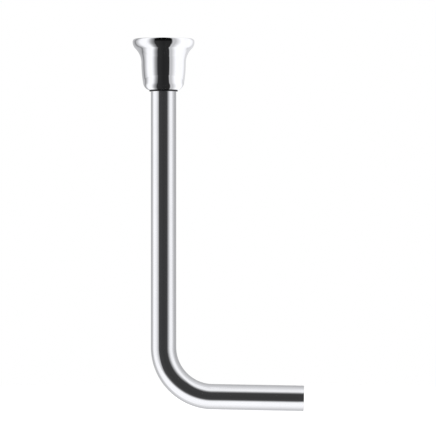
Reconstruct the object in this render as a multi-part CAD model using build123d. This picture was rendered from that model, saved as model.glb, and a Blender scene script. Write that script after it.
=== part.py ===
from build123d import *
import math
import os

# A bent waste tube for a wash basin. All lengths are in millimetres.
# The origin is where the basin waste's end seats: the centre of the seal's upper face.
# +Z points up the inlet leg, and +X is the way the water leaves.

# Tube
tube_od = 32.0
tube_wall = 1.0
bend_radius = 63.0  # to the tube's centreline
outlet_fall = 1.0  # degrees that the outlet leg slopes down
inlet_drop = 341.0  # from the origin down to the start of the bend
outlet_run = 115.5  # straight length of the outlet leg
end_chamfer = 0.3
inlet_flange_width = 3.0  # the flange rolled out beyond the tube's outside
inlet_flange_thickness = 1.2
flange_edge_round = 0.4
flange_root_round = 0.8

# Seal that lies on the inlet flange
seal_thickness = 2.5
seal_bore_gap = 0.3  # between the tube's bore and the seal's
seal_edge_round = 0.3

# Union nut, with a G 1 1/4 pipe thread drawn as its minor bore
thread_flange_gap = 0.476  # the flange passes inside the thread
thread_relief = 1.724  # relief behind the thread, beyond its minor bore
thread_height = 10.0
thread_lead_in = 1.0
nut_wall = 4.4  # from the thread's minor bore to the outside
nut_shoulder = 4.0
nut_edge_chamfer = 1.0
nut_tube_gap = 0.4
nut_flange_gap = 0.3
grip_count = 12
grip_radius = 4.0
grip_depth = 0.8
grip_margin = 2.2  # plain band left above and below the grips

# Bell cover, a spun shell that hides the nut. Depths are below its rim.
bell_wall = 0.9
bell_height = 65.5
bell_nut_room = 4.15  # from the nut's outside to the bell's waist
bell_nut_drop = 8.6  # from the nut's lower face to the lowest point of the bell
bell_waist_depth = 30.7
bell_body_taper = 2.3  # how much narrower the bell is at its foot than at its waist
bell_foot_rise = 8.5  # height of the rounded foot
bell_flare_round = 25.2
bell_flare_width = 11.1  # how far the lip stands out beyond the waist
bell_lip_depth = 4.1
lip_land = 0.95  # flat ring on top of the lip
lip_curl_round = 1.5
lip_curl_drop = 2.5

# Rubber ring that holds the bell on the tube
ring_wall = 1.05  # between the tube and the bell's neck
ring_tube_gap = 0.06
ring_neck_gap = 0.05
ring_seat_gap = 0.05
ring_lower_lip = 1.05  # lips beyond the bell's neck
ring_upper_lip = 1.35
ring_lower_thickness = 1.3
ring_upper_thickness = 1.2
ring_edge_round = 0.3
ring_relief = 0.45
ring_relief_height = 1.6

tube_radius = tube_od / 2
bore_radius = tube_radius - tube_wall
flange_radius = tube_radius + inlet_flange_width
flange_top = -seal_thickness
flange_bottom = flange_top - inlet_flange_thickness
thread_minor_radius = flange_radius + thread_flange_gap
nut_radius = thread_minor_radius + nut_wall
nut_shoulder_top = flange_bottom - nut_flange_gap
nut_bottom = nut_shoulder_top - nut_shoulder
bell_neck_radius = tube_radius + ring_wall
bell_waist_radius = nut_radius + bell_nut_room
bell_lip_radius = bell_waist_radius + bell_flare_width
bell_rim_height = nut_bottom - bell_nut_drop + bell_height


def revolved(outline):
    """Turn a closed outline in the XZ plane, given as edges, about the Z axis."""
    return revolve(make_face(outline), Axis.Z)


def closed_outline(points):
    return Polyline(*[(x, 0, z) for x, z in points], close=True)


def arc(centre, radius, start, end):
    """An arc in the XZ plane from one angle to another, in degrees from +X towards +Z."""

    def at(angle):
        turn = math.radians(angle)
        return (centre[0] + radius * math.cos(turn), 0, centre[1] + radius * math.sin(turn))

    return ThreePointArc(at(start), at((start + end) / 2), at(end))


def tube_path():
    """The tube's centreline, from the flange's underside to the outlet."""
    down = Line((0, 0, flange_bottom), (0, 0, -inlet_drop))
    bend = arc((bend_radius, -inlet_drop), bend_radius, 180, 270 - outlet_fall)
    return Wire([down, bend, Line(bend @ 1, (bend @ 1) + (bend % 1) * outlet_run)])


def bent_tube():
    path = tube_path()
    outside = sweep(Plane.XY.offset(flange_bottom) * Circle(tube_radius), path)
    bore = sweep(Plane.XY.offset(flange_bottom) * Circle(bore_radius), path)
    tube = outside - bore
    end_edges = tube.edges().filter_by(GeomType.CIRCLE).sort_by(Axis.X)[-2:]
    tube = chamfer(end_edges, end_chamfer)
    collar = revolved(
        closed_outline(
            [
                (bore_radius, flange_bottom),
                (flange_radius, flange_bottom),
                (flange_radius, flange_top),
                (bore_radius, flange_top),
            ]
        )
    )
    tube = tube + collar
    root = tube.edges().filter_by(GeomType.CIRCLE).filter_by(
        lambda e: abs(e.radius - tube_radius) < 1e-6 and abs(e.arc_center.Z - flange_bottom) < 1e-6
    )
    tube = fillet(root, flange_root_round)
    rim = tube.edges().filter_by(GeomType.CIRCLE).filter_by(
        lambda e: e.arc_center.Z > flange_bottom - 1e-6
        and (e.radius > flange_radius - 1e-6 or e.radius < bore_radius + 1e-6)
    )
    return fillet(rim, flange_edge_round)


def seal_washer():
    inner = bore_radius + seal_bore_gap
    outline = closed_outline(
        [
            (inner, flange_top),
            (flange_radius, flange_top),
            (flange_radius, 0),
            (inner, 0),
        ]
    )
    washer = revolved(outline)
    return fillet(washer.edges().filter_by(GeomType.CIRCLE), seal_edge_round)


def union_nut():
    hole = tube_radius + nut_tube_gap
    lead_radius = thread_minor_radius + thread_lead_in
    relief_radius = thread_minor_radius + thread_relief
    hole_chamfer = flange_root_round
    nut = revolved(
        closed_outline(
            [
                (hole, nut_bottom),
                (nut_radius - nut_edge_chamfer, nut_bottom),
                (nut_radius, nut_bottom + nut_edge_chamfer),
                (nut_radius, thread_height - nut_edge_chamfer),
                (nut_radius - nut_edge_chamfer, thread_height),
                (lead_radius, thread_height),
                (thread_minor_radius, thread_height - thread_lead_in),
                (thread_minor_radius, 0),
                (relief_radius, 0),
                (relief_radius, nut_shoulder_top),
                (hole + hole_chamfer, nut_shoulder_top),
                (hole, nut_shoulder_top - hole_chamfer),
            ]
        )
    )
    grip_low = nut_bottom + grip_margin
    grip_height = thread_height - grip_margin - grip_low
    reach = nut_radius - grip_depth + grip_radius
    for place in PolarLocations(reach, grip_count):
        nut -= place * Pos(0, 0, grip_low) * extrude(Circle(grip_radius), grip_height)
    return nut


# The bell's outer skin is a chain of tangent arcs. These are their radii and centres, below the rim.
body_fall = bell_height - bell_foot_rise - bell_waist_depth
body_round = (body_fall**2 + bell_body_taper**2) / (2 * bell_body_taper)
body_centre = (bell_waist_radius - body_round, -bell_waist_depth)
body_turn = 2 * math.degrees(math.atan2(bell_body_taper, body_fall))
foot_round = bell_foot_rise / (1 - math.sin(math.radians(body_turn)))
foot_reach = (body_round - foot_round) * math.cos(math.radians(body_turn))
foot_centre = (body_centre[0] + foot_reach, foot_round - bell_height)
flare_centre = (bell_waist_radius + bell_flare_round, -bell_waist_depth)
flare_rise = bell_waist_depth - bell_lip_depth
flare_inset = bell_flare_round - bell_flare_width
under_round = (flare_inset**2 + flare_rise**2 - bell_flare_round**2) / (2 * bell_flare_width)
under_centre = (bell_lip_radius - under_round, -bell_lip_depth)
flare_turn = math.degrees(math.atan2(flare_rise, flare_centre[0] - under_centre[0]))
lip_centre = (bell_lip_radius - bell_lip_depth, -bell_lip_depth)
curl_centre = (lip_centre[0] - lip_land, -lip_curl_round)


def bell_floor(radius, inset):
    """Depth, below the rim, of the bell's rounded foot at a radius, as a negative height."""
    skin = foot_round - inset
    return foot_centre[1] - math.sqrt(skin**2 - (radius - foot_centre[0]) ** 2)


def bell_skin(inset):
    """The skin's edges from the neck up and over the lip, inset from the outer face."""
    neck_z = bell_floor(bell_neck_radius, inset)
    neck_turn = math.degrees(math.atan2(neck_z - foot_centre[1], bell_neck_radius - foot_centre[0]))
    curl = arc(curl_centre, lip_curl_round - inset, 90, 180)
    return [
        arc(foot_centre, foot_round - inset, neck_turn, -body_turn),
        arc(body_centre, body_round - inset, -body_turn, 0),
        arc(flare_centre, bell_flare_round + inset, 180, 180 - flare_turn),
        arc(under_centre, under_round - inset, -flare_turn, 0),
        arc(lip_centre, bell_lip_depth - inset, 0, 90),
        Line((lip_centre[0], 0, -inset), (curl_centre[0], 0, -inset)),
        curl,
        Line(curl @ 1, (curl @ 1) - Vector(0, 0, lip_curl_drop)),
    ]


def bell_cover():
    outer = bell_skin(0)
    inner = bell_skin(bell_wall)
    ends = [Line(outer[0] @ 0, inner[0] @ 0), Line(outer[-1] @ 1, inner[-1] @ 1)]
    return Pos(0, 0, bell_rim_height) * revolved(outer + inner + ends)


def neck_ring():
    """A grommet: the bell's neck sits in its groove, and its bore grips the tube."""
    bore = tube_radius + ring_tube_gap
    waist = bell_neck_radius - ring_neck_gap
    lower_radius = bell_neck_radius + ring_lower_lip
    upper_radius = bell_neck_radius + ring_upper_lip
    groove_low = bell_rim_height + bell_floor(bell_neck_radius, 0) - ring_seat_gap
    groove_high = bell_rim_height + bell_floor(upper_radius, bell_wall) + ring_seat_gap
    low = groove_low - ring_lower_thickness
    high = groove_high + ring_upper_thickness
    middle = (low + high) / 2
    relief_low = middle - ring_relief_height / 2
    relief_high = middle + ring_relief_height / 2
    ring = revolved(
        closed_outline(
            [
                (bore, low),
                (lower_radius, low),
                (lower_radius, groove_low),
                (waist, groove_low),
                (waist, groove_high),
                (upper_radius, groove_high),
                (upper_radius, high),
                (bore, high),
                (bore, relief_high),
                (bore + ring_relief, relief_high),
                (bore + ring_relief, relief_low),
                (bore, relief_low),
            ]
        )
    )
    outer_edges = ring.edges().filter_by(GeomType.CIRCLE).filter_by(
        lambda e: e.radius > waist + 1e-3
        and (abs(e.arc_center.Z - low) < 1e-6 or abs(e.arc_center.Z - high) < 1e-6)
    )
    return fillet(outer_edges, ring_edge_round)


pieces = {
    "bent_tube": bent_tube(),
    "seal_washer": seal_washer(),
    "union_nut": union_nut(),
    "bell_cover": bell_cover(),
    "neck_ring": neck_ring(),
}
os.makedirs("parts", exist_ok=True)
for name, piece in pieces.items():
    export_step(piece, f"parts/{name}.step")
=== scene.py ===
"""A chromed basin waste tube: one long bend, a union nut and a spun bell cover on its inlet end.

Lengths are in metres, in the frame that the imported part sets: +Z runs up the inlet leg, and +X is
the way the outlet leg goes. Each piece is a closed mesh made of rings of points.
"""

import math

import bpy
import numpy as np
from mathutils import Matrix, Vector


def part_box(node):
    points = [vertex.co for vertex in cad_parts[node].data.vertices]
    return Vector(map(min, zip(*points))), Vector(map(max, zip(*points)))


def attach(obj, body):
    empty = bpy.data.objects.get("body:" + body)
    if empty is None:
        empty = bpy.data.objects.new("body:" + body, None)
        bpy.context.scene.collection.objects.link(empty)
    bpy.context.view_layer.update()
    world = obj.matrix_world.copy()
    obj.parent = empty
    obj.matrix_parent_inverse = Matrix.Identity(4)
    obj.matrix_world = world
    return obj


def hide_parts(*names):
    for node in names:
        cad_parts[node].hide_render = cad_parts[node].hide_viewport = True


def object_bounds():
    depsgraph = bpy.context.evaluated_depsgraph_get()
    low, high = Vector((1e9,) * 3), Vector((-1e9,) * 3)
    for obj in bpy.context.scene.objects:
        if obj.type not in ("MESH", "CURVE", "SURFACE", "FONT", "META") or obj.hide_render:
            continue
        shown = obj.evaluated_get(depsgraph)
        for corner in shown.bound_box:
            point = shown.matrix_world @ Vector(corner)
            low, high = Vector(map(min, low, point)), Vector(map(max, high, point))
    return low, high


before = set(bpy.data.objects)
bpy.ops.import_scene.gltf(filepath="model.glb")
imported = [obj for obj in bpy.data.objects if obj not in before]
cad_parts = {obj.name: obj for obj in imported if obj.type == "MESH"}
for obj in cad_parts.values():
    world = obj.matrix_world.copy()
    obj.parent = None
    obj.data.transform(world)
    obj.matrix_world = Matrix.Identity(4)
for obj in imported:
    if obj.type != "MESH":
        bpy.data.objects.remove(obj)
cad_low, cad_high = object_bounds()
MM = 0.001

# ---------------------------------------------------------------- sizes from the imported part

tube_low, tube_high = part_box("bent_tube")
seal_low, seal_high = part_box("seal_washer")
nut_low, nut_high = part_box("union_nut")
bell_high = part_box("bell_cover")[1]
ring_low, ring_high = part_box("neck_ring")

TUBE_RADIUS = 16 * MM
TUBE_WALL = 1 * MM
BORE_RADIUS = TUBE_RADIUS - TUBE_WALL
BEND_RADIUS = 63 * MM
OUTLET_FALL = math.radians(1)
FLANGE_RADIUS = tube_high.y
FLANGE_TOP = tube_high.z
FLANGE_THICKNESS = 1.2 * MM
FLANGE_ROUND = 0.4 * MM
ROOT_ROUND = 0.8 * MM
END_CHAMFER = 0.3 * MM
# The lowest point of the tube is the outer edge of its sloping end.
END_DROP = TUBE_RADIUS * math.cos(OUTLET_FALL)

THREAD_PITCH = 2.309 * MM
THREAD_MINOR = 19.476 * MM
THREAD_MAJOR = 20.955 * MM
THREAD_RELIEF = 21.2 * MM
THREAD_LEAD_IN = 1 * MM
NUT_RADIUS = nut_high.x
NUT_SHOULDER = 4 * MM
NUT_HOLE = 16.4 * MM
NUT_EDGE = 1 * MM
GRIP_COUNT = 12
GRIP_RADIUS = 4 * MM
GRIP_DEPTH = 0.8 * MM
GRIP_MARGIN = 2.2 * MM

SEAL_BORE_GAP = 0.3 * MM  # between the tube's bore and the seal's
SEAL_ROUND = 0.3 * MM

BELL_WALL = 0.9 * MM
BELL_RIM = bell_high.z
BELL_HEIGHT = 65.5 * MM
BELL_LIP_RADIUS = bell_high.x
BELL_FLARE_WIDTH = 11.1 * MM
BELL_FLARE_ROUND = 25.2 * MM
BELL_WAIST_DEPTH = 30.7 * MM
BELL_BODY_TAPER = 2.3 * MM
BELL_FOOT_RISE = 8.5 * MM
BELL_LIP_DEPTH = 4.1 * MM
BELL_NECK_RADIUS = 17.05 * MM
LIP_LAND = 0.95 * MM
LIP_CURL_ROUND = 1.5 * MM
LIP_CURL_DROP = 2.5 * MM

RING_BORE = 16.06 * MM
RING_WAIST = 17.0 * MM
RING_LOWER_RADIUS = 18.1 * MM
RING_UPPER_RADIUS = ring_high.x
RING_LOWER_THICKNESS = 1.3 * MM
RING_UPPER_THICKNESS = 1.2 * MM
RING_RELIEF = 0.45 * MM
RING_RELIEF_HEIGHT = 1.6 * MM

# ---------------------------------------------------------------- outlines and meshes


def arc(centre, radius, start, end, steps):
    """Points (radius from the axis, height) along an arc, with angles in degrees."""
    turns = np.radians(np.linspace(start, end, steps + 1))
    return [(centre[0] + radius * math.cos(t), centre[1] + radius * math.sin(t)) for t in turns]


def rounded(corners, steps=5):
    """A closed outline through (r, z, rounding) corners, with an arc at each rounded one."""
    out = []
    count = len(corners)
    for i, (r, z, rounding) in enumerate(corners):
        here = np.array((r, z))
        if rounding <= 0:
            out.append((r, z))
            continue
        before = np.array(corners[i - 1][:2]) - here
        after = np.array(corners[(i + 1) % count][:2]) - here
        before /= np.linalg.norm(before)
        after /= np.linalg.norm(after)
        half = math.acos(np.clip(np.dot(before, after), -1, 1)) / 2
        middle = (before + after) / np.linalg.norm(before + after)
        centre = here + middle * rounding / math.sin(half)
        first = here + before * rounding / math.tan(half) - centre
        last = here + after * rounding / math.tan(half) - centre
        sweep = math.pi - 2 * half
        for k in range(steps + 1):
            share = k / steps
            low = math.sin((1 - share) * sweep) / math.sin(sweep)
            high = math.sin(share * sweep) / math.sin(sweep)
            out.append(tuple(centre + first * low + last * high))
    return out


def new_object(name, points, faces):
    mesh = bpy.data.meshes.new(name)
    mesh.from_pydata(points, [], faces)
    thing = bpy.data.objects.new(name, mesh)
    bpy.context.scene.collection.objects.link(thing)
    return thing


def ring_mesh(name, rings, straight, materials, strip_materials=None, sharp=40):
    """A closed mesh: each ring of points is joined to the next, and the last to the first.

    straight holds the same points on the piece as if it were unbent, for its patterns, and
    strip_materials has a material's number for each strip between two rings.
    """
    count, around = rings.shape[:2]
    index = np.arange(count * around).reshape(count, around)
    nxt = np.roll(index, -1, axis=0)
    faces = np.stack([index, np.roll(index, -1, axis=1), np.roll(nxt, -1, axis=1), nxt], axis=-1)
    faces = faces.reshape(-1, 4)
    points = rings.reshape(-1, 3)
    a, b, c, d = (points[faces[:, k]] for k in range(4))
    inside_out = np.sum(a * (np.cross(b, c) + np.cross(c, d))) < 0
    if inside_out:
        faces = faces[:, ::-1]
    piece = new_object(name, points.tolist(), faces.tolist())
    mesh = piece.data
    mesh.attributes.new("straight", "FLOAT_VECTOR", "POINT").data.foreach_set(
        "vector", straight.astype(np.float32).ravel()
    )
    for one in materials:
        mesh.materials.append(one)
    if strip_materials is not None:
        mesh.polygons.foreach_set("material_index", np.repeat(np.array(strip_materials, np.int32), around))
    mesh.shade_smooth()
    mesh.set_sharp_from_angle(angle=math.radians(sharp))
    mesh.update()
    return piece


def angles(around):
    """Evenly spaced angles round the axis, from the far side of the camera."""
    return math.pi / 2 + np.arange(around) * 2 * math.pi / around


def turned_piece(name, outline, around, materials, strip_materials=None, sharp=40):
    """A closed outline of (r, z) points turned about the Z axis."""
    outline = np.array(outline)
    turn = angles(around)
    rings = np.empty((len(outline), around, 3))
    rings[:, :, 0] = outline[:, :1] * np.cos(turn)
    rings[:, :, 1] = outline[:, :1] * np.sin(turn)
    rings[:, :, 2] = outline[:, 1:]
    return ring_mesh(name, rings, rings, materials, strip_materials, sharp)


# ---------------------------------------------------------------- materials


class Nodes:
    """Short calls for building one node tree."""

    def __init__(self, tree):
        self.tree = tree
        tree.nodes.clear()

    def add(self, kind, settings=None, **inputs):
        """A node with its settings, and its inputs by name, where _ stands for a space."""
        node = self.tree.nodes.new(kind)
        for key, value in (settings or {}).items():
            setattr(node, key, value)
        for key, value in inputs.items():
            self.set(node, key.replace("_", " "), value)
        return node

    def set(self, node, socket, value):
        target = node.inputs[socket]
        if isinstance(value, bpy.types.NodeSocket):
            self.tree.links.new(value, target)
        else:
            target.default_value = value

    def maths(self, operation, *values):
        node = self.tree.nodes.new("ShaderNodeMath")
        node.operation = operation
        for i, value in enumerate(values):
            self.set(node, i, value)
        return node.outputs[0]

    def spread(self, value, low, high, to_low, to_high):
        node = self.add("ShaderNodeMapRange", {"interpolation_type": "SMOOTHSTEP"}, Value=value)
        limits = (("From Min", low), ("From Max", high), ("To Min", to_low), ("To Max", to_high))
        for socket, number in limits:
            node.inputs[socket].default_value = number
        return node.outputs["Result"]

    def panels(self, sideways, front, stops):
        """Soft light panels: greys by the angle from the front, through (degrees, grey) stops."""
        turn = self.maths("DIVIDE", self.maths("ARCTAN2", sideways, front), 2 * math.pi)
        greys = [(0.5 + angle / 360, (grey, grey, grey * 1.02)) for angle, grey in stops]
        return self.ramp(self.maths("ADD", turn, 0.5), greys, smooth=False)

    def ramp(self, value, stops, smooth=True):
        """A colour ramp through (position, colour) stops."""
        node = self.add("ShaderNodeValToRGB", Fac=value)
        node.color_ramp.interpolation = "EASE" if smooth else "LINEAR"
        elements = node.color_ramp.elements
        while len(elements) < len(stops):
            elements.new(0.5)
        for element, (position, colour) in zip(elements, stops):
            element.position = position
        for element, (position, colour) in zip(elements, stops):
            element.color = (*colour, 1)
        return node.outputs["Color"]

    def noise(self, vector, scale, stretch=(1, 1, 1), detail=3.0, roughness=0.5):
        """Noise with scale features to the metre, stretched along some axes."""
        mapping = self.add("ShaderNodeMapping", Vector=vector)
        mapping.inputs["Scale"].default_value = stretch
        node = self.add(
            "ShaderNodeTexNoise", Vector=mapping.outputs[0], Scale=scale, Detail=detail, Roughness=roughness
        )
        return node.outputs["Fac"]

    def blend(self, share, first, second):
        node = self.add("ShaderNodeMix", {"data_type": "RGBA"})
        self.set(node, 0, share)
        self.set(node, 6, first)
        self.set(node, 7, second)
        return node.outputs[2]


def empty_material(name):
    material = bpy.data.materials.new(name)
    material.use_nodes = True
    return material, Nodes(material.node_tree)


def new_material(name):
    """A material, its nodes, its shader and the unbent place that its patterns follow."""
    material, nodes = empty_material(name)
    shader = nodes.add("ShaderNodeBsdfPrincipled")
    out = nodes.add("ShaderNodeOutputMaterial")
    nodes.set(out, "Surface", shader.outputs[0])
    place = nodes.add("ShaderNodeAttribute", {"attribute_name": "straight"}).outputs["Vector"]
    return material, nodes, shader, place


def bump(nodes, layers):
    """Stacks (height, distance, strength) layers of relief and returns the normal."""
    normal = None
    for height, distance, strength in layers:
        node = nodes.add("ShaderNodeBump", Height=height, Distance=distance, Strength=strength)
        if normal is not None:
            nodes.set(node, "Normal", normal)
        normal = node.outputs["Normal"]
    return normal


def polished_chrome(name, tint, metallic, lines, haze):
    """Bright plate: buffing lines that run along lines, a little haze and a very slight ripple."""
    material, nodes, shader, place = new_material(name)
    buffing = nodes.noise(place, 2600, lines, detail=2)
    smear = nodes.noise(place, 55, (1, 1, 0.45), detail=4, roughness=0.6)
    ripple = nodes.noise(place, 38, (1, 1, 0.6), detail=1)
    fine = nodes.spread(buffing, 0.35, 0.65, haze * 0.8, haze * 1.15)
    cloud = nodes.spread(smear, 0.42, 0.72, 0, haze * 0.5)
    nodes.set(shader, "Roughness", nodes.maths("ADD", fine, cloud))
    deeper = tuple(c * 0.97 for c in tint)
    share = nodes.spread(smear, 0.35, 0.7, 0, 1)
    nodes.set(shader, "Base Color", nodes.blend(share, (*tint, 1), (*deeper, 1)))
    shader.inputs["Metallic"].default_value = metallic
    layers = [(ripple, 0.00003, 0.6), (buffing, 0.0000015, 0.35)]
    nodes.set(shader, "Normal", bump(nodes, layers))
    return material


def raw_brass(name, lines):
    """Drawn brass under no plate: dull yellow with brown tarnish and drawing lines."""
    material, nodes, shader, place = new_material(name)
    drawing = nodes.noise(place, 1500, lines, detail=3)
    stain = nodes.noise(place, 90, (1, 1, 0.3), detail=5, roughness=0.65)
    colour = nodes.ramp(
        stain, [(0.3, (0.62, 0.47, 0.22)), (0.55, (0.55, 0.4, 0.19)), (0.75, (0.34, 0.22, 0.11))]
    )
    nodes.set(shader, "Base Color", colour)
    shader.inputs["Metallic"].default_value = 1.0
    nodes.set(shader, "Roughness", nodes.spread(drawing, 0.3, 0.7, 0.28, 0.5))
    nodes.set(shader, "Normal", bump(nodes, [(drawing, 0.00001, 0.7)]))
    return material


def spun_chrome(name):
    """The unpolished inside of a spun shell: thin grey plate over the spinning tool's rings."""
    material, nodes, shader, place = new_material(name)
    rings = nodes.noise(place, 900, (0.03, 0.03, 1), detail=3, roughness=0.6)
    smear = nodes.noise(place, 70, detail=4)
    colour = nodes.ramp(
        smear, [(0.3, (0.74, 0.73, 0.7)), (0.6, (0.66, 0.64, 0.58)), (0.8, (0.58, 0.53, 0.44))]
    )
    nodes.set(shader, "Base Color", colour)
    shader.inputs["Metallic"].default_value = 1.0
    nodes.set(shader, "Roughness", nodes.spread(rings, 0.3, 0.7, 0.2, 0.36))
    nodes.set(shader, "Normal", bump(nodes, [(rings, 0.00003, 0.8)]))
    return material


def black_rubber(name, grain):
    """Moulded rubber: near black, fine grained, with a faint grey bloom."""
    material, nodes, shader, place = new_material(name)
    bloom = nodes.noise(place, 220, detail=5, roughness=0.6)
    pores = nodes.noise(place, grain, detail=4, roughness=0.7)
    colour = nodes.ramp(
        bloom, [(0.4, (0.011, 0.011, 0.012)), (0.7, (0.024, 0.024, 0.025)), (0.85, (0.05, 0.05, 0.052))]
    )
    nodes.set(shader, "Base Color", colour)
    nodes.set(shader, "Roughness", nodes.spread(pores, 0.3, 0.7, 0.48, 0.7))
    nodes.set(shader, "Normal", bump(nodes, [(pores, 0.00004, 0.6)]))
    return material


# How noise is stretched into fine lines, along the tube or round it.
ALONG = (1, 1, 0.02)
ROUND_AXIS = (0.05, 0.05, 1)
tube_chrome = polished_chrome("tube_plate", (0.86, 0.865, 0.88), 0.97, ALONG, 0.06)
bell_chrome = polished_chrome("bell_plate", (0.88, 0.885, 0.9), 1.0, ROUND_AXIS, 0.035)
nut_chrome = polished_chrome("nut_plate", (0.84, 0.84, 0.85), 1.0, ROUND_AXIS, 0.12)
bore_brass = raw_brass("bore_brass", ALONG)
cut_brass = raw_brass("cut_brass", (1, 1, 1))
thread_brass = raw_brass("thread_brass", ROUND_AXIS)
bell_inside = spun_chrome("bell_inside")
ring_rubber = black_rubber("ring_rubber", 3500)
seal_rubber = black_rubber("seal_rubber", 2200)

# ---------------------------------------------------------------- the bent tube

OUTLET_LENGTH = 115.5 * MM
BEND_TURN = math.pi / 2 - OUTLET_FALL
BEND_LENGTH = BEND_RADIUS * BEND_TURN
PLATED, BORE, CUT = range(3)  # the tube's materials
# The bend starts this far below the origin, found from the tube's lowest point.
INLET_LENGTH = -(
    tube_low.z + END_DROP + OUTLET_LENGTH * math.sin(OUTLET_FALL) + BEND_RADIUS * math.cos(OUTLET_FALL)
)


def centreline(travel):
    """The point on the tube's axis that far down from the origin, and the way it heads."""
    if travel <= INLET_LENGTH:
        return np.array((0, 0, -travel)), np.array((0.0, 0, -1))
    turn = min(travel - INLET_LENGTH, BEND_LENGTH) / BEND_RADIUS
    heading = np.array((math.sin(turn), 0, -math.cos(turn)))
    point = np.array((BEND_RADIUS * (1 - math.cos(turn)), 0, -INLET_LENGTH - BEND_RADIUS * math.sin(turn)))
    return point + heading * max(0, travel - INLET_LENGTH - BEND_LENGTH), heading


def tube_stations():
    """(radius, travel, material) for each ring: over the flange, down the outside and back up the bore."""
    flange_low = FLANGE_TOP - FLANGE_THICKNESS
    flange = [
        (r, -z, PLATED)
        for r, z in arc((BORE_RADIUS + FLANGE_ROUND, FLANGE_TOP - FLANGE_ROUND), FLANGE_ROUND, 180, 90, 6)
        + arc((FLANGE_RADIUS - FLANGE_ROUND, FLANGE_TOP - FLANGE_ROUND), FLANGE_ROUND, 90, 0, 6)
        + arc((FLANGE_RADIUS - FLANGE_ROUND, flange_low + FLANGE_ROUND), FLANGE_ROUND, 0, -90, 6)
        + arc((TUBE_RADIUS + ROOT_ROUND, flange_low - ROOT_ROUND), ROOT_ROUND, 90, 180, 8)
    ]
    total = INLET_LENGTH + BEND_LENGTH + OUTLET_LENGTH
    down = list(np.linspace(ROOT_ROUND - flange_low, INLET_LENGTH, 25)[1:-1])
    bend = list(np.linspace(INLET_LENGTH, INLET_LENGTH + BEND_LENGTH, 97))
    along = list(np.linspace(INLET_LENGTH + BEND_LENGTH, total - END_CHAMFER, 13)[1:-1])
    outside = [(TUBE_RADIUS, travel, PLATED) for travel in down + bend + along]
    corner = END_CHAMFER * 0.3  # how far the rounded edge's middle lies from the square corner
    end = [
        (TUBE_RADIUS, total - END_CHAMFER, PLATED),
        (TUBE_RADIUS - corner, total - corner, CUT),
        (TUBE_RADIUS - END_CHAMFER, total, CUT),
        (BORE_RADIUS + END_CHAMFER, total, CUT),
        (BORE_RADIUS + corner, total - corner, CUT),
        (BORE_RADIUS, total - END_CHAMFER, BORE),
    ]
    mouth = FLANGE_ROUND - FLANGE_TOP + 1 * MM
    inside = [(BORE_RADIUS, travel, BORE) for travel in reversed([mouth] + down + bend + along)]
    return flange + outside + end + inside


def bent_tube():
    stations = tube_stations()
    turn = angles(168)
    rings = np.empty((len(stations), len(turn), 3))
    straight = np.empty_like(rings)
    for i, (radius, travel, _) in enumerate(stations):
        point, heading = centreline(travel)
        across = np.array((-heading[2], 0, heading[0]))
        outward = np.outer(np.cos(turn), across) + np.outer(np.sin(turn), (0, 1, 0))
        rings[i] = point + radius * outward
        straight[i, :, 0] = radius * np.cos(turn)
        straight[i, :, 1] = radius * np.sin(turn)
        straight[i, :, 2] = -travel
    materials = [tube_chrome, bore_brass, cut_brass]
    return ring_mesh("waste_tube", rings, straight, materials, [s[2] for s in stations])


# ---------------------------------------------------------------- the bell cover

body_fall = BELL_HEIGHT - BELL_FOOT_RISE - BELL_WAIST_DEPTH
body_round = (body_fall**2 + BELL_BODY_TAPER**2) / (2 * BELL_BODY_TAPER)
waist_radius = BELL_LIP_RADIUS - BELL_FLARE_WIDTH
body_centre = (waist_radius - body_round, BELL_RIM - BELL_WAIST_DEPTH)
body_turn = 2 * math.degrees(math.atan2(BELL_BODY_TAPER, body_fall))
foot_round = BELL_FOOT_RISE / (1 - math.sin(math.radians(body_turn)))
foot_centre = (
    body_centre[0] + (body_round - foot_round) * math.cos(math.radians(body_turn)),
    BELL_RIM + foot_round - BELL_HEIGHT,
)
flare_rise = BELL_WAIST_DEPTH - BELL_LIP_DEPTH
flare_inset = BELL_FLARE_ROUND - BELL_FLARE_WIDTH
under_round = (flare_inset**2 + flare_rise**2 - BELL_FLARE_ROUND**2) / (2 * BELL_FLARE_WIDTH)
flare_centre = (waist_radius + BELL_FLARE_ROUND, BELL_RIM - BELL_WAIST_DEPTH)
under_centre = (BELL_LIP_RADIUS - under_round, BELL_RIM - BELL_LIP_DEPTH)
flare_turn = math.degrees(math.atan2(flare_rise, flare_centre[0] - under_centre[0]))
lip_centre = (BELL_LIP_RADIUS - BELL_LIP_DEPTH, BELL_RIM - BELL_LIP_DEPTH)
curl_centre = (lip_centre[0] - LIP_LAND, BELL_RIM - LIP_CURL_ROUND)


def foot_height(radius, inset):
    """Height of the bell's rounded foot at a radius, on the skin that is inset that far."""
    return foot_centre[1] - math.sqrt((foot_round - inset) ** 2 - (radius - foot_centre[0]) ** 2)


def bell_skin(inset, fineness):
    """The skin from the neck up, over the lip and down its turned-in edge."""
    neck_z = foot_height(BELL_NECK_RADIUS, inset)
    neck_turn = math.degrees(math.atan2(neck_z - foot_centre[1], BELL_NECK_RADIUS - foot_centre[0]))
    steps = [round(s * fineness) for s in (26, 22, 26, 20, 24, 12)]
    return (
        arc(foot_centre, foot_round - inset, neck_turn, -body_turn, steps[0])
        + arc(body_centre, body_round - inset, -body_turn, 0, steps[1])[1:]
        + arc(flare_centre, BELL_FLARE_ROUND + inset, 180, 180 - flare_turn, steps[2])[1:]
        + arc(under_centre, under_round - inset, -flare_turn, 0, steps[3])[1:]
        + arc(lip_centre, BELL_LIP_DEPTH - inset, 0, 90, steps[4])[1:]
        + arc(curl_centre, LIP_CURL_ROUND - inset, 90, 180, steps[5])
    )


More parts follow.
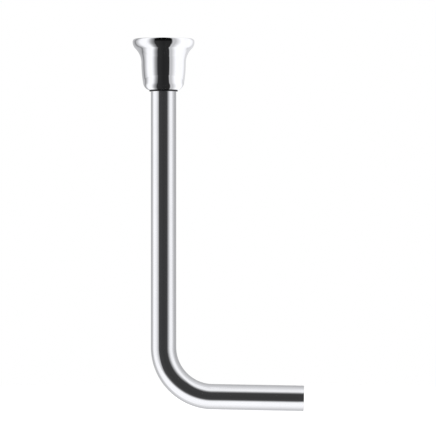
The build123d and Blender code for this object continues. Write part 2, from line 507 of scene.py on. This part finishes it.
def bell_cover():
    outer = bell_skin(0, 1.3)
    inner = bell_skin(BELL_WALL, 0.8)
    hem_low = BELL_RIM - LIP_CURL_ROUND - LIP_CURL_DROP
    hem_middle = curl_centre[0] - LIP_CURL_ROUND + BELL_WALL / 2
    half_hem = 5
    hem = arc((hem_middle, hem_low + BELL_WALL / 2), BELL_WALL / 2, 180, 360, 2 * half_hem)
    outline = outer + hem + inner[::-1]
    # Polished as far as the middle of the hem, and again on the neck's edge.
    polished = len(outer) + half_hem
    strips = [0] * polished + [1] * (len(outline) - polished - 1) + [0]
    return turned_piece("bell", outline, 256, [bell_chrome, bell_inside], strips)


# ---------------------------------------------------------------- the neck ring and the seal


def neck_ring():
    low, high = ring_low.z, ring_high.z
    groove_low = low + RING_LOWER_THICKNESS
    groove_high = high - RING_UPPER_THICKNESS
    middle = (low + high) / 2
    soft, edge = 0.45 * MM, 0.12 * MM
    outline = rounded(
        [
            (RING_BORE, low, 0.2 * MM),
            (RING_LOWER_RADIUS, low, soft),
            (RING_LOWER_RADIUS, groove_low, soft),
            (RING_WAIST, groove_low, edge),
            (RING_WAIST, groove_high, edge),
            (RING_UPPER_RADIUS, groove_high, 0.4 * MM),
            (RING_UPPER_RADIUS, high, soft),
            (RING_BORE, high, 0.3 * MM),
            (RING_BORE, middle + RING_RELIEF_HEIGHT / 2, edge),
            (RING_BORE + RING_RELIEF, middle + RING_RELIEF_HEIGHT / 2, edge),
            (RING_BORE + RING_RELIEF, middle - RING_RELIEF_HEIGHT / 2, edge),
            (RING_BORE, middle - RING_RELIEF_HEIGHT / 2, edge),
        ]
    )
    return turned_piece("neck_grommet", outline, 192, [ring_rubber])


def seal_washer():
    inner, low, high = BORE_RADIUS + SEAL_BORE_GAP, seal_low.z, seal_high.z
    corners = [(inner, low), (FLANGE_RADIUS, low), (FLANGE_RADIUS, high), (inner, high)]
    outline = rounded([(r, z, SEAL_ROUND) for r, z in corners])
    return turned_piece("flat_seal", outline, 192, [seal_rubber])


# ---------------------------------------------------------------- the union nut


def grip_radius(turn):
    """How far the nut's outside reaches at an angle, inside the twelve scooped grips."""
    pitch = 2 * math.pi / GRIP_COUNT
    away = (turn + pitch / 2) % pitch - pitch / 2
    reach = NUT_RADIUS - GRIP_DEPTH + GRIP_RADIUS
    inside = GRIP_RADIUS**2 - (reach * np.sin(away)) ** 2
    scoop = reach * np.cos(away) - np.sqrt(np.maximum(inside, 0))
    return np.where(inside > 0, np.minimum(NUT_RADIUS, scoop), NUT_RADIUS)


def thread_radius(turn, z):
    """The thread's rounded 55-degree profile at an angle and height."""
    phase = (z / THREAD_PITCH - turn / (2 * math.pi)) % 1
    wave = 1 - np.abs(2 * phase - 1)
    flank = np.clip((wave - 0.5) * 1.35 + 0.5, 0, 1)
    flank = flank * flank * (3 - 2 * flank) * 0.35 + flank * 0.65
    return THREAD_MINOR + (THREAD_MAJOR - THREAD_MINOR) * flank


def union_nut():
    turn = angles(480)
    low, top = nut_low.z, nut_high.z
    shoulder = low + NUT_SHOULDER
    grip_low, grip_top = low + GRIP_MARGIN, top - GRIP_MARGIN
    soft = 0.25 * MM
    rows = []

    def ring(radius, z, material=0):
        rows.append((np.broadcast_to(radius, turn.shape), z, material))

    for r, z in arc((NUT_HOLE + soft, low + soft), soft, 180, 270, 4):
        ring(r, z)
    for r, z in arc((NUT_RADIUS - NUT_EDGE, low + NUT_EDGE), NUT_EDGE, -90, 0, 8):
        ring(r, z)
    scooped = grip_radius(turn)
    quarter = np.linspace(0, math.pi / 2, 6)
    for grip_end, upwards, slopes in ((grip_low, 1, quarter), (grip_top, -1, quarter[::-1])):
        for slope in slopes:
            radius = NUT_RADIUS + (scooped - NUT_RADIUS) * math.sin(slope)
            ring(radius, grip_end + upwards * soft * (1 - math.cos(slope)))
    for r, z in arc((NUT_RADIUS - NUT_EDGE, top - NUT_EDGE), NUT_EDGE, 0, 90, 8):
        ring(r, z)
    ring(THREAD_MINOR + THREAD_LEAD_IN + soft, top)
    for z in np.linspace(top, 0, 72):
        lead = THREAD_MINOR + max(0, z - (top - THREAD_LEAD_IN))
        ring(np.maximum(thread_radius(turn, z) if z < top - soft else THREAD_MINOR, lead), z, 1)
    for z in np.linspace(0, shoulder, 4):
        ring(THREAD_RELIEF, z, 1)
    ring(NUT_HOLE + ROOT_ROUND, shoulder, 1)
    ring(NUT_HOLE, shoulder - ROOT_ROUND)
    rings = np.empty((len(rows), len(turn), 3))
    for i, (radius, z, _) in enumerate(rows):
        rings[i, :, 0] = radius * np.cos(turn)
        rings[i, :, 1] = radius * np.sin(turn)
        rings[i, :, 2] = z
    return ring_mesh("union_nut_threaded", rings, rings, [nut_chrome, thread_brass], [r[2] for r in rows])


# ---------------------------------------------------------------- put the pieces on the frame

for piece, body, node, slot in (
    (bent_tube(), "tube", "bent_tube", "tube_chrome"),
    (seal_washer(), "tube", "seal_washer", "seal_rubber"),
    (union_nut(), "nut", "union_nut", "nut_chrome"),
    (bell_cover(), "bell", "bell_cover", "bell_chrome"),
    (neck_ring(), "ring", "neck_ring", "ring_rubber"),
):
    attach(piece, body)
    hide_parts(node)

# ---------------------------------------------------------------- studio light

CHROME_LOSS = 0.87  # the share of light that the plate returns, made up for by the panels

# Brightness all round at eye level, by degrees from the camera's side; the right is positive.
AROUND = [
    (-180, 0.44), (-143, 0.43), (-131, 0.42), (-121, 0.5), (-112, 0.66), (-104, 0.9), (-92, 1.0),
    (-78, 0.95), (-67, 0.85), (-56, 0.65), (-47, 0.44), (-43, 0.25), (-40, 0.04), (0, 0.028),
    (31, 0.034), (37, 0.14), (47, 0.43), (57, 0.77), (67, 0.94), (79, 0.94), (91, 0.71), (104, 0.54),
    (121, 0.4), (180, 0.42),
]  # fmt: skip
# Brightness over the top and under the floor, by degrees up from the camera's side.
OVER = [
    (-180, 0.4), (-156, 0.5), (-128, 0.56), (-110, 0.7), (-96, 0.82), (-84, 0.92), (-66, 1.0),
    (-42, 0.96), (-33, 0.5), (-27, 0.12), (-20, 0.034), (0, 0.028), (37, 0.034), (43, 0.1), (52, 0.42),
    (60, 0.85), (70, 0.94), (82, 0.82), (96, 0.7), (110, 0.62), (128, 0.51), (150, 0.44), (180, 0.4),
]  # fmt: skip


def make_studio():
    """The pale studio that reflections see, dark only at the camera, and a white backdrop."""
    world = bpy.data.worlds.new("studio")
    bpy.context.scene.world = world
    world.use_nodes = True
    nodes = Nodes(world.node_tree)
    direction = nodes.add("ShaderNodeTexCoord").outputs["Generated"]
    split = nodes.add("ShaderNodeSeparateXYZ", Vector=direction)
    x, y, z = split.outputs
    front = nodes.maths("MULTIPLY", y, -1.0)

    brighter = nodes.add("ShaderNodeMix", {"data_type": "RGBA", "blend_type": "LIGHTEN"})
    nodes.set(brighter, 0, 1.0)
    nodes.set(brighter, 6, nodes.panels(x, front, AROUND))
    nodes.set(brighter, 7, nodes.panels(z, front, OVER))
    studio = nodes.add("ShaderNodeBackground", Color=brighter.outputs[2], Strength=1 / CHROME_LOSS)
    backdrop = nodes.add("ShaderNodeBackground", Color=(1, 1, 1, 1), Strength=1.0)
    seen = nodes.add("ShaderNodeLightPath").outputs["Is Camera Ray"]
    mix = nodes.add("ShaderNodeMixShader", Fac=seen)
    nodes.set(mix, 1, studio.outputs[0])
    nodes.set(mix, 2, backdrop.outputs[0])
    out = nodes.add("ShaderNodeOutputWorld")
    nodes.set(out, "Surface", mix.outputs[0])


# Brightness all round the bell, by degrees from the camera's side, on the cards close about it.
BELL_AROUND = [
    (-180, 0.5), (-150, 0.5), (-134, 0.43), (-126, 0.38), (-122, 0.2), (-118, 0.24), (-112, 0.45),
    (-102, 0.6), (-94, 0.8), (-85, 0.97), (-60, 1.0), (-52, 0.82), (-44, 0.48), (-38, 0.3), (-32, 0.18),
    (-28, 0.03), (0, 0.018), (28, 0.022), (32, 0.52), (36, 0.55), (40, 0.5), (47, 0.64), (56, 0.84),
    (64, 1.0), (112, 1.0), (126, 0.92), (138, 0.66), (152, 0.7), (180, 0.5),
]  # fmt: skip
# From the rim up, where only the lip mirrors them, the cards are darker in front.
LIP_AROUND = [(angle, 0.003 if abs(angle) < 29 else grey) for angle, grey in BELL_AROUND]
# The cards are so near that a reflection meets them at a narrower angle than the way it heads.
CARD_NARROWING = 0.9


def make_card(name, inner, outer, stops):
    """A card all round the tube, from one (radius, height) to another.

    Only reflections see it, and only from the side that faces the bell.
    """
    around = 96
    turn = angles(around)
    points = [(r * math.cos(t), r * math.sin(t), z) for r, z in (inner, outer) for t in turn]
    faces = [(k, around + k, around + (k + 1) % around, (k + 1) % around) for k in range(around)]
    card = new_object(name, points, faces)
    material, nodes = empty_material(name)
    place = nodes.add("ShaderNodeTexCoord").outputs["Object"]
    x, y, _ = nodes.add("ShaderNodeSeparateXYZ", Vector=place).outputs
    narrowed = [(CARD_NARROWING * angle, grey) for angle, grey in stops]
    grey = nodes.panels(x, nodes.maths("MULTIPLY", y, -1.0), narrowed)
    front = nodes.add("ShaderNodeEmission", Color=grey, Strength=1 / CHROME_LOSS)
    back = nodes.add("ShaderNodeBsdfTransparent")
    sides = nodes.add("ShaderNodeMixShader", Fac=nodes.add("ShaderNodeNewGeometry").outputs["Backfacing"])
    nodes.set(sides, 1, front.outputs[0])
    nodes.set(sides, 2, back.outputs[0])
    out = nodes.add("ShaderNodeOutputMaterial")
    nodes.set(out, "Surface", sides.outputs[0])
    card.data.materials.append(material)
    card.visible_camera = False
    card.visible_diffuse = False
    card.visible_shadow = False


def make_cards():
    """Cards below, beside and above the bell, all out of the straight tube's sight."""
    under, over = ring_low.z - 1 * MM, BELL_RIM + 25 * MM
    low, lip, high = ring_low.z + 8.5 * MM, BELL_RIM - 2 * MM, BELL_RIM + 30 * MM
    beside = 90 * MM
    make_card("card_under", (TUBE_RADIUS + 1 * MM, under), (600 * MM, under), BELL_AROUND)
    make_card("card_beside", (beside, low), (beside, lip), BELL_AROUND)
    make_card("card_beside_lip", (beside, lip), (beside, high), LIP_AROUND)
    make_card("card_over", (80 * MM, over), (2 * MM, over), LIP_AROUND)


def make_floor():
    """A pale round floor just under the tube, which fades out at its edge."""
    size = 0.9
    around, count = 96, 24
    steps = [size * (k / count) for k in range(1, count + 1)]
    turn = angles(around)
    points = [(0, 0, 0)] + [(r * math.cos(t), r * math.sin(t), 0) for r in steps for t in turn]
    faces = [(0, 1 + k, 1 + (k + 1) % around) for k in range(around)]
    for i in range(count - 1):
        a, b = 1 + i * around, 1 + (i + 1) * around
        faces += [(a + k, b + k, b + (k + 1) % around, a + (k + 1) % around) for k in range(around)]
    floor = new_object("floor", points, faces)
    middle = (cad_low + cad_high) / 2
    floor.location = (middle.x, middle.y, cad_low.z - 0.2 * MM)
    material, nodes = empty_material("pale_floor")
    place = nodes.add("ShaderNodeTexCoord").outputs["Object"]
    distance = nodes.add("ShaderNodeVectorMath", {"operation": "LENGTH"})
    nodes.set(distance, 0, place)
    grain = nodes.noise(place, 300, detail=4)
    colour = nodes.ramp(grain, [(0.3, (0.88, 0.88, 0.88)), (0.7, (0.92, 0.92, 0.92))])
    paper = nodes.add("ShaderNodeBsdfPrincipled", Roughness=0.9)
    nodes.set(paper, "Base Color", colour)
    paper.inputs["Specular IOR Level"].default_value = 0.1
    paper.inputs["Emission Color"].default_value = (1, 1, 1, 1)
    paper.inputs["Emission Strength"].default_value = 0.6
    nodes.set(paper, "Alpha", nodes.spread(distance.outputs["Value"], size * 0.45, size * 0.95, 1, 0))
    out = nodes.add("ShaderNodeOutputMaterial")
    nodes.set(out, "Surface", paper.outputs[0])
    floor.data.materials.append(material)
    floor.visible_glossy = False
    floor.visible_diffuse = False
    floor.visible_shadow = False


# ---------------------------------------------------------------- camera

PICTURE_WIDTH = 0.5515  # metres across the picture at the object
CAMERA_DISTANCE = 5.0
CAMERA_LIFT = 8.6 * MM  # the camera stands this much above the middle of the object
CAMERA_SHIFT = -0.4 * MM  # and this much to the side of it


def make_camera():
    camera = bpy.data.cameras.new("camera")
    camera.sensor_width = 36
    camera.lens = camera.sensor_width * CAMERA_DISTANCE / PICTURE_WIDTH
    camera.clip_end = 100
    holder = bpy.data.objects.new("camera", camera)
    bpy.context.scene.collection.objects.link(holder)
    middle = (cad_low + cad_high) / 2
    holder.location = (middle.x + CAMERA_SHIFT, -CAMERA_DISTANCE, middle.z + CAMERA_LIFT)
    holder.rotation_euler = (math.pi / 2, 0, 0)
    bpy.context.scene.camera = holder


bpy.context.scene.view_settings.view_transform = "Standard"
make_studio()
make_cards()
make_floor()
make_camera()
